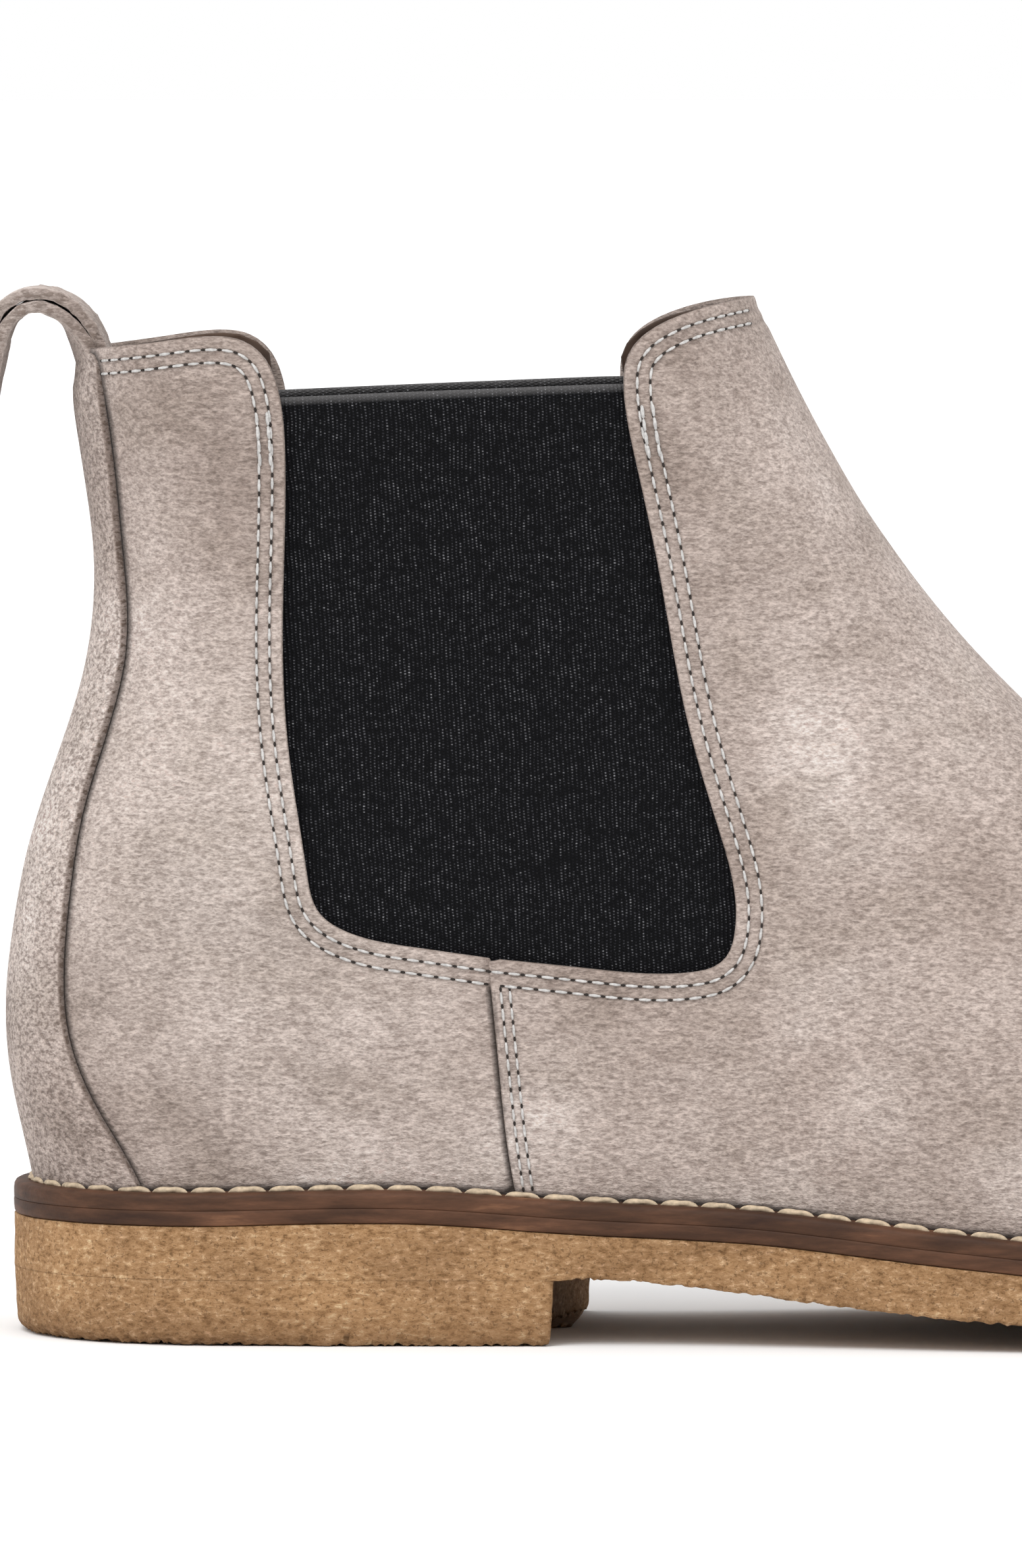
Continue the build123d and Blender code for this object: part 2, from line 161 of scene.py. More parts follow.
def half_width(x, z, inset=0.0):
    """Half the boot's width at a point of the side view, for the surface that lies inset in."""
    share = np.clip((z - 42) / 66, 0, 1)
    share = share * share * (3 - 2 * share)
    toe = ellipse((TOE_TIP + 1.3 - inset - x) / (TOE_ROUND - inset), 2.3)
    low = (foot_width(x) - inset) * toe
    wide = low + share * (shaft_width(z) - inset - low)
    tuck = 1 - 0.045 * np.exp(-np.clip(z - feather(x), 0, 60) / 8)
    heel = ellipse((x - back(z) - inset) / (HEEL_ROUND - inset))
    top = ellipse((from_ridge(x, z) - inset) / (vault(x) - inset))
    bottom = ellipse((z - FLOOR_OF_LAST - inset) / 22)
    return wide * tuck * heel * top * bottom


# Section planes fan out from the toe to the top: a point at the bottom or back, and one at the ridge.
FAN = [(TOE_TIP + 0.9, 0, TOE_TIP + 0.9, 30), (TOE_TIP - 4, 0, TOE_TIP - 4, 30),
       (TOE_TIP - 12, 0, TOE_TIP - 12, 40), (228, 0, 228, 52), (200, 0, 200, 63), (165, -10, 166, 75),
       (128, -10, 140, 89), (90, -10, 122, 104), (52, -10, 112, 114), (14, -12, 104, 124.6),
       (-24, -6, 97, 134.7), (-38.2, 37, 90, 146.5), (-36, 78, 84.5, 157.5), (-26, 113, 80.2, 166.5),
       (-27.5, 145, 76.5, 176), (-31, TOP_PLANE - 4, 71.6, TOP_PLANE - 4)]


def section(x, z, direction, count):
    """A closed section, bottom over the lateral side to the ridge and back down the medial side."""
    along = np.linspace(-60, 260, 3201)
    px = x + along * direction[0]
    pz = z + along * direction[1]
    depth = np.minimum(from_ridge(px, pz), np.minimum(px - back(pz), pz - FLOOR_OF_LAST))
    here = int(np.argmax(depth))
    low = here - int(np.argmax(depth[here::-1] < 0))
    high = here + int(np.argmax(depth[here:] < 0))

    def crossing(i, j):
        share = depth[i] / (depth[i] - depth[j])
        return along[i] + share * (along[j] - along[i])

    first = crossing(low + 1, low)
    last = crossing(high - 1, high)
    span = first + (last - first) * (1 - np.cos(np.linspace(0, np.pi, 161))) / 2
    px = x + span * direction[0]
    pz = z + span * direction[1]
    half = half_width(px, pz)
    half[0] = half[-1] = 0
    length = lengths(np.column_stack([span, half]))
    even = np.linspace(0, length[-1], count + 1)
    px, pz, half = spread(even, length, np.column_stack([px, pz, half])).T
    shift = middle(px)
    lateral = np.stack([px, shift - half, pz], 1)
    medial = np.stack([px, shift + half, pz], 1)
    return np.concatenate([lateral, medial[-2:0:-1]])


def last_grid(rows, count):
    """The last's outer surface: rows of closed sections from the toe to the top, and unit normals."""
    fan = np.array(FAN, float)
    travel = lengths((fan[:, :2] + fan[:, 2:]) / 2)
    grid = []
    for x, z, to_x, to_z in spread(np.linspace(0, travel[-1], rows), travel, fan):
        size = math.hypot(to_x - x, to_z - z)
        grid.append(section(x, z, ((to_x - x) / size, (to_z - z) / size), count))
    grid = np.array(grid)
    up = np.gradient(grid, axis=0)
    round_ = np.roll(grid, -1, 1) - np.roll(grid, 1, 1)
    normal = unit(np.cross(up, round_))
    outward = grid - grid.mean(1, keepdims=True)
    flip = np.sign((normal * outward).sum(2).mean())
    return grid, normal * flip


# ---- outlines in the side view, x and z
WINDOW_BACK = [(7.6, 75.8), (4.6, 95.9), (3.7, 114.8), (4.2, 141.3), (3.4, 151.2)]
WINDOW_BOTTOM = [(70.0, 59.7), (53, 60.1), (37.2, 61.75), (25, 63.5), (14.4, 65.9)]
WINDOW_FRONT = [(58.9, 154.2), (60.6, 142.4), (64.6, 123.5), (69.2, 99.5), (74.2, 82.3), (76.6, 72.5)]
BACK_CORNER = [(9.6, 69.2)]
FRONT_CORNER = [(76.6, 66.3), (75.0, 62.0), (73.0, 60.5)]
BACK_TOPLINE = [(3.4, 151.2), (2.6, 154.4), (0.8, 157.9), (-2.7, 160.4), (-6.2, 161.0), (-9.7, 160.9),
                (-16.7, 160.0), (-26, 158.9), (-34, 158.0), (-50, 156.5)]
FLAP_TOPLINE = [(110, 169.5), (90, 168.3), (78.4, 167), (70, 165.2), (64.4, 162.9), (60.9, 160.2),
                (59.3, 157.4), (58.9, 154.2)]
SEAM = [(42.4, 18), (40.6, 30), (38.9, 45), (37.2, 61.75)]
BACKSTAY_EDGE = [(-17.8, 23), (-20.3, 28.1), (-27.8, 41.4), (-31.1, 54.1), (-30.7, 68.7), (-28.7, 82.6),
                 (-24.8, 95.8), (-21.4, 110), (-21.7, 126), (-23, 140), (-24.7, 151), (-26.5, 158.2)]


def smooth(points, spacing=0.6):
    """Points spaced evenly on a smooth line through a few given points."""
    points = np.array(points, float)
    if len(points) < 3:
        count = max(2, int(np.linalg.norm(points[-1] - points[0]) / spacing))
        return np.linspace(points[0], points[-1], count)
    at = lengths(points)
    parts = [curve(list(zip(at, points[:, k]))) for k in range(points.shape[1])]
    steps = np.linspace(0, at[-1], max(3, int(at[-1] / spacing)))
    return np.stack([part(steps) for part in parts], 1)


def outline(*runs):
    """A closed polygon from smooth runs of points."""
    return np.concatenate([smooth(run) for run in runs])


def feather_run(start, end, sink=1.0):
    """The line just under the top of the welt, from one x to another."""
    x = np.linspace(start, end, 40)
    return np.stack([x, feather(x) - sink], 1)


SEAM_FOOT = (41.9, float(feather(41.9)) - 1.0)
SEAM_RUN = [SEAM_FOOT] + SEAM[1:]
QUARTER_EDGE = WINDOW_BOTTOM[2:] + BACK_CORNER + WINDOW_BACK + BACK_TOPLINE[1:]
VAMP_EDGE = FLAP_TOPLINE + WINDOW_FRONT[1:] + FRONT_CORNER + WINDOW_BOTTOM[:3]
QUARTER = outline(feather_run(-50, 41.9), SEAM_RUN, QUARTER_EDGE)
VAMP = outline(VAMP_EDGE, SEAM_RUN[::-1], feather_run(41.9, 290), [(290, 100), (290, 190)],
               [(290, 190), (110, 190)])
GUSSET = outline([(-3.5, 150.8), (-3.9, 115), (-0.5, 74)], [(8, 60), (30, 54.5), (76, 51.5)],
                 [(84.5, 68), (76.5, 102), (66.5, 153.6)], [(66.5, 153.8), (30, 152.3), (-3.5, 150.8)])
STAY = outline(BACKSTAY_EDGE, [(-26.5, 158.2), (-50, 156.8)], [(-50, 156.8), (-50, 23)],
               [(-50, 23), (-17.8, 23)])
ABOVE_ELASTIC = outline([(-3.5, 150.8), (30, 152.3), (66.5, 153.8)], [(70, 170), (-6, 170)])
STIFFENER = outline(feather_run(-50, 26), [(22, 44), (0, 56), (-20, 66), (-34, 71), (-50, 73)])
PUFF = outline(feather_run(212, 290), [(290, 90), (204, 90)])


def lining_edge(run):
    """The lining's edge: a little below the suede at the toplines, and short of the window."""
    shifted = []
    for x, z in run:
        aside = 0.0 if z > 157 else (-1.3 if x < 37 else 1.3)
        shifted.append((x + aside, z - (0.6 if z > 150 else 1.3 if z < 64 else 0.0)))
    return shifted


LINING_QUARTER = outline(feather_run(-50, 41.9), SEAM_RUN, lining_edge(QUARTER_EDGE))
LINING_VAMP = outline(lining_edge(VAMP_EDGE), SEAM_RUN[::-1], feather_run(41.9, 290),
                      [(290, 100), (290, 190)], [(290, 190), (110, 190)])


def signed_distance(points, polygon):
    """Distance from each point to a closed polygon, positive inside."""
    a = polygon
    b = np.roll(polygon, -1, 0)
    keep = np.linalg.norm(b - a, axis=1) > 1e-6
    a, b = a[keep], b[keep]
    ab = b - a
    nearest = np.full(len(points), 1e9)
    inside = np.zeros(len(points), bool)
    for start in range(0, len(points), 4000):
        p = points[start:start + 4000, None]
        t = np.clip(((p - a) * ab).sum(2) / (ab**2).sum(1), 0, 1)
        gap = np.linalg.norm(p - a - t[..., None] * ab, axis=2)
        nearest[start:start + 4000] = gap.min(1)
        over = (a[:, 1] > p[..., 1]) != (b[:, 1] > p[..., 1])
        cut = a[:, 0] + (p[..., 1] - a[:, 1]) * ab[:, 0] / np.where(ab[:, 1] == 0, 1e-9, ab[:, 1])
        inside[start:start + 4000] = (over & (p[..., 0] < cut)).sum(1) % 2 == 1
    return np.where(inside, nearest, -nearest)


def line_distance(points, line):
    """Distance from each point to an open line of points."""
    best = np.full(len(points), 1e9)
    for start in range(0, len(points), 4000):
        p = points[start:start + 4000, None]
        best[start:start + 4000] = np.linalg.norm(p - line[None], axis=2).min(1)
    return best


# ---- meshes
def new_object(name, points, faces, look, attributes=None):
    """A smooth-shaded object from points in millimetres."""
    mesh = bpy.data.meshes.new(name)
    mesh.from_pydata((np.asarray(points) * MM).tolist(), [], faces)
    mesh.validate()
    mesh.shade_smooth()
    for key, values in (attributes or {}).items():
        layer = mesh.attributes.new(key, "FLOAT", "POINT")
        layer.data.foreach_set("value", np.asarray(values, np.float32))
    mesh.update()
    piece = bpy.data.objects.new(name, mesh)
    bpy.context.scene.collection.objects.link(piece)
    piece.data.materials.append(look)
    return piece


def boot_piece(name, points, faces, look, slot, node=None, attributes=None):
    """An object that stays on the boot, and stands for a CAD node if one is named."""
    piece = new_object(name, points, faces, look, attributes)
    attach(piece, "boot")
    if node:
        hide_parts(node)


def ring_faces(rows, count, closed=False):
    """Quads between rows of rings: the last row joined to the first if closed, else a cap on each end."""
    faces = []
    for i in range(rows if closed else rows - 1):
        j = (i + 1) % rows
        for k in range(count):
            m = (k + 1) % count
            faces.append((i * count + k, i * count + m, j * count + m, j * count + k))
    if not closed:
        faces.append(tuple(range(count))[::-1])
        faces.append(tuple(range((rows - 1) * count, rows * count)))
    return faces


def clip_grid(grid, normal, field, extra):
    """The part of a closed grid where field is positive, cut exactly along the zero line.

    Returns points, normals, the extra values at the points, and faces."""
    count = field.shape[1]
    points, normals, values, faces = [], [], [], []
    index = {}

    def add(key, p, n, v):
        if key not in index:
            index[key] = len(points)
            points.append(p)
            normals.append(n)
            values.append(v)
        return index[key]

    inside = field > 0
    following = np.roll(inside, -1, 1)
    some = inside[:-1] | inside[1:] | following[:-1] | following[1:]
    for i, j in zip(*np.nonzero(some)):
        k = (j + 1) % count
        corners = [(i, j), (i + 1, j), (i + 1, k), (i, k)]
        face = []
        for c, d in zip(corners, corners[1:] + corners[:1]):
            if inside[c]:
                face.append(add(c, grid[c], normal[c], extra[:, c[0], c[1]]))
            if inside[c] != inside[d]:
                key = (min(c, d), max(c, d))
                a, b = key
                t = field[a] / (field[a] - field[b])
                point = grid[a] + t * (grid[b] - grid[a])
                facing = normal[a] + t * (normal[b] - normal[a])
                value = extra[:, a[0], a[1]] * (1 - t) + extra[:, b[0], b[1]] * t
                face.append(add(key, point, facing, value))
        if len(set(face)) > 2:
            faces.append(tuple(dict.fromkeys(face)))
    return np.array(points), unit(np.array(normals)), np.array(values), faces


INNER_FACE = 0.25           # the inner face's share of a cut edge's colour


def thicken(points, normals, values, faces, thickness, round_by=0.3):
    """A closed sheet: the outer face, the inner face and a rounded cut edge all round.

    The last value is 0 on the outer face, 1 on the cut edge and INNER_FACE on the inner face."""
    points = np.asarray(points, float)
    edges = {}
    for face in faces:
        for a, b in zip(face, face[1:] + face[:1]):
            edges[(a, b)] = edges.get((a, b), 0) + 1
    rim = [(a, b) for (a, b) in edges if (b, a) not in edges]
    outward = np.zeros_like(points)
    first = faces[0]
    facing = np.cross(points[first[1]] - points[first[0]], points[first[2]] - points[first[0]])
    turn = 1 if np.dot(facing, normals[first[0]]) > 0 else -1
    for a, b in rim:
        along = (points[b] - points[a]) * turn
        side = unit(np.cross(along, normals[a] + normals[b]))
        outward[a] += side
        outward[b] += side
    size = np.linalg.norm(outward, axis=1, keepdims=True)
    outward = np.where(size > 1e-6, outward / np.maximum(size, 1e-6), 0)
    used = sorted({v for edge in rim for v in edge})
    n = len(points)
    all_points = [points, points - normals * thickness]

    def marked(part, cut):
        return np.column_stack([part, np.full(len(part), cut)])

    all_values = [marked(values, 0.0), marked(values, INNER_FACE)]
    loops = [{v: v for v in used}]
    base = 2 * n
    for out, down, cut in ((0.7, 0.25, 0.6), (1.0, 1.0, 1.0), (1.0, thickness / round_by - 1, 1.0)):
        loops.append({v: base + k for k, v in enumerate(used)})
        all_points.append(points[used] + outward[used] * out * round_by - normals[used] * down * round_by)
        all_values.append(marked(values[used], cut))
        base += len(used)
    loops.append({v: v + n for v in used})
    all_faces = list(faces) + [tuple(v + n for v in face[::-1]) for face in faces]
    for a, b in rim:
        for upper, lower in zip(loops, loops[1:]):
            all_faces.append((upper[b], upper[a], lower[a], lower[b]))
    if turn < 0:
        all_faces = [face[::-1] for face in all_faces]
    return np.concatenate(all_points), np.concatenate(all_values), all_faces


def drift(point, size, seed):
    """Smooth noise from about -1 to 1."""
    return noise.noise(Vector(point) / size + Vector((seed, 3.7 * seed, 1.3 * seed)))


HALF = 150                  # steps of a section over one side, from the bottom to the ridge
GRID, NORMAL = last_grid(330, HALF)
FAR = 50.0                  # stands for a distance at which an edge no longer shows


def relief_of(point):
    """Slow unevenness of the leather over the last, in mm."""
    return 0.35 * drift(point, 38, 1.0) + 0.16 * drift(point, 13, 2.0)


def suede_relief():
    """The unevenness at every point of the grid, worked out at every third and blended between."""
    every = np.array([[relief_of(point) for point in row[::3]] for row in GRID])
    following = np.roll(every, -1, 1)
    thirds = [every, every * 2 / 3 + following / 3, every / 3 + following * 2 / 3]
    return np.stack(thirds, 2).reshape(GRID.shape[:2])


RELIEF = suede_relief()


def lap_rise(distance):
    """How far the vamp stands off where it overlaps the quarter, by distance from the seam."""
    return np.clip(1 - distance / 16, 0, 1) ** 2


def seam_fade(view):
    """Grows above the seam's own stitches, where its gap closes under the window's rows."""
    return np.clip((view[..., 1] - ROWS_UNDER_WINDOW) / 1.5, 0, 1)


def panel(node, kind, side, polygon, offset, sewn=None, seam=None, under=()):
    """A layer of the upper: the last's surface inside an outline, given thickness.

    sewn is the line that the stitch rows follow, and seam the edge that laps over the quarter. under
    holds the outlines of the pieces that lie on this one, each with 1 if its gap closes under the
    window's rows, as the seam's does."""
    look, slot, thickness, step = LAYERS[kind]
    grid = GRID[::step, ::step]
    normal = NORMAL[::step, ::step]
    relief = RELIEF[::step, ::step]
    view = grid[:, :, [0, 2]]
    shape = grid.shape[:2]
    column = np.broadcast_to(np.arange(shape[1]), shape)
    half = HALF // step
    wanted = ((view > polygon.min(0) - 4) & (view < polygon.max(0) + 4)).all(2)
    if side == "lateral":
        wanted &= column <= half
    elif side == "medial":
        wanted &= (column >= half) | (column == 0)
    elif side == "rear":
        wanted &= view[:, :, 0] < 40
    field = np.full(shape, -1.0)
    field[wanted] = signed_distance(view[wanted], polygon)
    if side in ("lateral", "medial"):
        field[:, [0, half]] = np.minimum(field[:, [0, half]], 0.01)
    near = field > -3

    def distance_to(line):
        gap = np.full(shape, FAR)
        gap[near] = np.minimum(line_distance(view[near], line), FAR)
        return gap

    edge = np.full(shape, FAR) if sewn is None else distance_to(sewn)
    rise = relief + offset
    # Distance to a gap: the welt's top, the side seam, or the edge of a piece lying on this one. The suede is
    # painted with shade near it; the elastic gets a lighter edge there.
    gap_distance = np.full(shape, FAR)
    if slot == "suede":
        gap_distance = view[:, :, 1] - feather(view[:, :, 0]) - 0.3
    if seam is not None:
        lap = distance_to(seam)
        edge = np.minimum(edge, lap * STITCH_ROWS[0] / SEAM_ROWS[0])
        rise = rise + lap_rise(lap)
        gap_distance = np.minimum(gap_distance, lap + 0.4 + seam_fade(view))
    for cover, fades in under:
        gap = -signed_distance(view[near], cover) - SEAM_SHADE * fades
        gap_distance[near] = np.minimum(gap_distance[near], gap + (1 + SEAM_SHADE) * seam_fade(view[near]) * fades)
    for row in STITCH_ROWS:
        rise = rise - STITCH_DIP * np.exp(-((edge - row) / 0.9) ** 2)
    if node == "backstay":
        look = STAY_LOOK
        rise = rise - SKIVE * np.clip((view[:, :, 1] - SKIVE_FROM) / SKIVE_RUN, 0, 1) ** 2
    surface = grid + normal * rise[..., None]
    points, normals, values, faces = clip_grid(surface, normal, field, np.stack([edge, gap_distance]))
    points, values, faces = thicken(points, normals, values, faces, thickness)
    marks = {"edge": values[:, 0], "gap_distance": values[:, 1], "cut": values[:, 2]}
    boot_piece(node + "_" + kind, points, faces, look, slot, node, marks)


# ---- materials
class Look:
    """A procedural material in the making: its methods add nodes and return their output."""

    def __init__(self, name, roughness, specular=0.5):
        self.material = bpy.data.materials.new(name)
        self.material.use_nodes = True
        self.nodes = self.material.node_tree.nodes
        self.link = self.material.node_tree.links.new
        self.shader = self.nodes["Principled BSDF"]
        self.shader.inputs["Roughness"].default_value = roughness
        self.shader.inputs["Specular IOR Level"].default_value = specular
        self.place = self.nodes.new("ShaderNodeTexCoord").outputs["Object"]

    def feed(self, socket, value):
        """Give a socket a number, a colour or the output of another node."""
        if isinstance(value, tuple):
            socket.default_value = (*value, 1)
        elif isinstance(value, (int, float)):
            socket.default_value = value
        else:
            self.link(value, socket)

    def scaled(self, scale):
        """Object space, multiplied by a factor along each axis."""
        mapping = self.nodes.new("ShaderNodeMapping")
        mapping.inputs["Scale"].default_value = scale
        self.link(self.place, mapping.inputs["Vector"])
        return mapping.outputs["Vector"]

    def axis(self, name):
        """One coordinate of object space."""
        parts = self.nodes.new("ShaderNodeSeparateXYZ")
        self.link(self.place, parts.inputs["Vector"])
        return parts.outputs[name]

    def attribute(self, name):
        """A value kept at the points of the mesh."""
        node = self.nodes.new("ShaderNodeAttribute")
        node.attribute_name = name
        return node.outputs["Fac"]

    def grain(self, scale, detail=4.0, roughness=0.6, stretch=None):
        """A noise texture; scale is per metre."""
        texture = self.nodes.new("ShaderNodeTexNoise")
        texture.inputs["Scale"].default_value = scale
        texture.inputs["Detail"].default_value = detail
        texture.inputs["Roughness"].default_value = roughness
        self.link(self.scaled(stretch) if stretch else self.place, texture.inputs["Vector"])
        return texture.outputs["Fac"]

    def ramp(self, value, *stops):
        """A colour ramp over a value; stops are (position, (r, g, b))."""
        node = self.nodes.new("ShaderNodeValToRGB")
        elements = node.color_ramp.elements
        while len(elements) < len(stops):
            elements.new(0.5)
        for element, (position, colour) in zip(elements, stops):
            element.position = position
            element.color = (*colour, 1)
        self.link(value, node.inputs["Fac"])
        return node.outputs["Color"]

    def mix(self, share, first, second, blend="MIX"):
        """Two colours mixed by a value, or by a constant share."""
        node = self.nodes.new("ShaderNodeMix")
        node.data_type = "RGBA"
        node.blend_type = blend
        for socket, value in zip((0, 6, 7), (share, first, second)):
            self.feed(node.inputs[socket], value)
        return node.outputs[2]

    def calc(self, operation, *values, clamp=False):
        """A math node over outputs and numbers."""
        node = self.nodes.new("ShaderNodeMath")
        node.operation = operation
        node.use_clamp = clamp
        for socket, value in zip(node.inputs, values):
            self.feed(socket, value)
        return node.outputs[0]

    def falloff(self, value, reach):
        """1 where the value is zero, 0 from reach on."""
        return self.calc("SUBTRACT", 1.0, self.calc("DIVIDE", value, reach), clamp=True)

    def near_line(self, x, z, reach):
        """1 on a line that runs across the boot through a point of the side view, 0 from reach away."""
        gap = self.nodes.new("ShaderNodeVectorMath")
        gap.operation = "DISTANCE"
        self.link(self.scaled((1.0, 0.0, 1.0)), gap.inputs[0])
        gap.inputs[1].default_value = (x, 0.0, z)
        return self.calc("SMOOTH_MIN", self.falloff(gap.outputs["Value"], reach), 1.0, 0.4, clamp=True)

    def done(self, colour, *bumps):
        """The finished material, with a chain of bumps: (height, strength, distance in metres)."""
        self.feed(self.shader.inputs["Base Color"], colour)
        normal = self.shader.inputs["Normal"]
        for height, strength, distance in bumps[::-1]:
            node = self.nodes.new("ShaderNodeBump")
            node.inputs["Strength"].default_value = strength
            node.inputs["Distance"].default_value = distance
            self.link(height, node.inputs["Height"])
            self.link(node.outputs["Normal"], normal)
            normal = node.inputs["Normal"]
        return self.material


GREY = (0.5, 0.5, 0.5)      # changes nothing in an overlay
# Where the suede is made lighter or darker: lighter patches towards the back, and darker patches low on the
# vamp that are painted shade of its dents and wrinkles. x and z of the side view, reach, share and colour.
LIGHTER_AND_SHADED_PATCHES = [(-0.006, 0.080, 0.045, 0.42, (0.66, 0.585, 0.54)), (0.012, 0.040, 0.035, 0.22, (0.60, 0.53, 0.49)),
           (0.092, 0.040, 0.055, 0.38, (0.30, 0.235, 0.20)), (0.150, 0.050, 0.045, 0.20, (0.30, 0.235, 0.20))]


def suede_material(name, rough_nap=0.0):
    """Greige suede: brushed patches, lighter patches and patches of painted shade, a fine lying nap, darker
    needle rows, cut edges, and painted shade in the gaps.
    """
    look = Look(name, 0.95, 0.08)
    look.shader.inputs["Sheen Weight"].default_value = 0.12
    look.shader.inputs["Sheen Roughness"].default_value = 0.5
    patches = look.grain(19.0, 4.0, 0.58)
    brushed = look.grain(70.0, 4.0, 0.6, (0.8, 1.0, 1.2))
    fibres = look.grain(1150.0, 4.0, 0.65, (0.48, 0.75, 1.3))
    nap = look.grain(2300.0, 2.0, 0.6, (0.6, 0.8, 1.3))
    base = look.ramp(patches, (0.30, (0.245, 0.193, 0.166)), (0.44, (0.350, 0.285, 0.252)),
                     (0.56, (0.420, 0.350, 0.315)), (0.72, (0.560, 0.490, 0.452)))
    # lighter patches, and patches of painted shade on the vamp
    for x, z, reach, share, shade in LIGHTER_AND_SHADED_PATCHES:
        base = look.mix(look.calc("MULTIPLY", look.near_line(x, z, reach), share), base, shade)
    soft = look.ramp(brushed, (0.32, (0.425, 0.42, 0.41)), (0.5, GREY), (0.68, (0.565, 0.57, 0.575)))
    colour = look.mix(0.8, base, soft, "OVERLAY")
    specks = look.ramp(fibres, (0.36 + rough_nap * 0.03, (0.24, 0.22, 0.21)), (0.5, GREY),
                       (0.64, (0.72, 0.725, 0.73)))
    colour = look.mix(0.55 + 0.3 * rough_nap, colour, specks, "OVERLAY")
    tips = look.ramp(nap, (0.38, (0.30, 0.29, 0.28)), (0.5, GREY), (0.62, (0.68, 0.68, 0.68)))
    colour = look.mix(0.5, colour, tips, "OVERLAY")
    edge = look.attribute("edge")
    rows = 0.0
    for row in STITCH_ROWS:
        near = look.calc("ABSOLUTE", look.calc("SUBTRACT", edge, row))
        rows = look.calc("ADD", look.falloff(near, 0.55), rows)
    colour = look.mix(look.calc("MULTIPLY", rows, 0.30), colour, (0.12, 0.09, 0.075))
    torn = look.calc("MULTIPLY_ADD", fibres, 5.5, -2.15, clamp=True)
    colour = look.mix(look.calc("MULTIPLY", look.attribute("cut"), torn), colour, (0.125, 0.090, 0.072))
    # Painted shade: near-black in the gaps between parts and along the top of the welt.
    gap = look.calc("POWER", look.falloff(look.attribute("gap_distance"), 0.95), 0.75)
    colour = look.mix(look.calc("MULTIPLY", gap, 0.92), colour, (0.018, 0.013, 0.011))
    return look.done(colour, (patches, 0.25, 0.0010), (fibres, 0.9 + 0.1 * rough_nap, 0.00055),
                     (nap, 0.7, 0.0002))


RIB = 0.00066
KNIT = 0.00047


def elastic_material():
    """Near-black knitted elastic: upright ribs of small loops, with painted grey glints on their crowns."""
    look = Look("elastic", 0.85, 0.10)
    upward = look.axis("Z")
    lean = look.calc("MULTIPLY", upward, 0.06)
    wander = look.calc("MULTIPLY", look.grain(120.0, 2.0, 0.5), 0.0010)
    across = look.calc("ADD", look.calc("ADD", look.axis("X"), lean), wander)
    rib = look.calc("DIVIDE", across, RIB)
    column = look.calc("MULTIPLY", look.calc("FLOOR", rib), math.pi)
    crown = look.calc("ABSOLUTE", look.calc("SINE", look.calc("MULTIPLY", rib, math.pi)))
    climb = look.calc("MULTIPLY_ADD", upward, 2 * math.pi / KNIT, column)
    loop = look.calc("MULTIPLY_ADD", look.calc("SINE", climb), 0.5, 0.5)
    knit = look.calc("MULTIPLY", crown, look.calc("MULTIPLY_ADD", loop, 0.6, 0.4))
    glint_noise = look.grain(900.0, 3.0, 0.8)
    # Painted highlights: grey glints on the crowns of the loops, stronger on some than on others.
    glint = look.calc("MULTIPLY", knit, look.calc("MULTIPLY_ADD", glint_noise, 1.6, -0.3))
    body = look.ramp(glint, (0.18, (0.0030, 0.0030, 0.0036)), (0.38, (0.009, 0.009, 0.011)),
                     (0.58, (0.070, 0.070, 0.076)), (0.80, (0.26, 0.26, 0.265)))
    shade = look.calc("MULTIPLY", look.falloff(look.attribute("gap_distance"), 1.1), 0.30)
    colour = look.mix(shade, body, (0.30, 0.29, 0.29))
    return look.done(colour, (knit, 0.8, 0.00030), (glint_noise, 0.3, 0.0002))


def leather_material(name, stops, roughness, scale=90.0, depth=0.0003, stretch=(1.0, 1.0, 1.0)):
    """Smooth or burnished leather and board: a mottled colour and a fine grain."""
    look = Look(name, roughness, 0.25)
    mottle = look.grain(scale, 6.0, 0.65, stretch)
    fine = look.grain(scale * 12, 3.0, 0.6)
    return look.done(look.ramp(mottle, *stops), (mottle, 0.3, depth), (fine, 0.4, depth * 0.5))


def crepe_material(name):
    """Plantation crepe: ochre, in matted granules with darker pits, darker in patches towards the ground."""
    look = Look(name, 0.85, 0.15)
    cells = look.nodes.new("ShaderNodeTexVoronoi")
    cells.inputs["Scale"].default_value = 700.0
    look.link(look.place, cells.inputs["Vector"])
    lumps = look.grain(950.0, 6.0, 0.74, (0.6, 0.8, 1.3))
    patches = look.grain(75.0, 5.0, 0.6, (0.7, 1.0, 1.2))
    fine = look.grain(1500.0, 3.0, 0.7)
    base = look.ramp(lumps, (0.34, (0.215, 0.112, 0.048)), (0.46, (0.385, 0.220, 0.105)),
                     (0.56, (0.470, 0.282, 0.146)), (0.68, (0.740, 0.520, 0.315)))
    tone = look.ramp(patches, (0.34, (0.37, 0.355, 0.34)), (0.66, (0.59, 0.59, 0.58)))
    colour = look.mix(0.8, base, tone, "OVERLAY")
    pits = look.calc("LESS_THAN", fine, 0.40)
    colour = look.mix(look.calc("MULTIPLY", pits, 0.55), colour, (0.12, 0.06, 0.025))
    # Darker in patches over the lowest 7 mm.
    ground_darkening = look.calc("MULTIPLY", look.falloff(look.axis("Z"), 0.007), look.calc("MULTIPLY", patches, 0.85))
    colour = look.mix(ground_darkening, colour, (0.16, 0.085, 0.042))
    return look.done(colour, (lumps, 0.8, 0.0010), (cells.outputs["Distance"], 0.5, 0.0005),
                     (fine, 0.6, 0.0003))


def plain_material(name, colour, roughness, metallic=0.0, scale=400.0):
    """For hidden pieces and thread: one colour with a little variation and grain."""
    look = Look(name, roughness)
    look.shader.inputs["Metallic"].default_value = metallic
    vary = look.grain(scale, 3.0, 0.6)
    darker = tuple(0.75 * c for c in colour)
    lighter = tuple(min(1.0, 1.15 * c) for c in colour)
    return look.done(look.ramp(vary, (0.35, darker), (0.65, lighter)), (vary, 0.4, 0.0002))


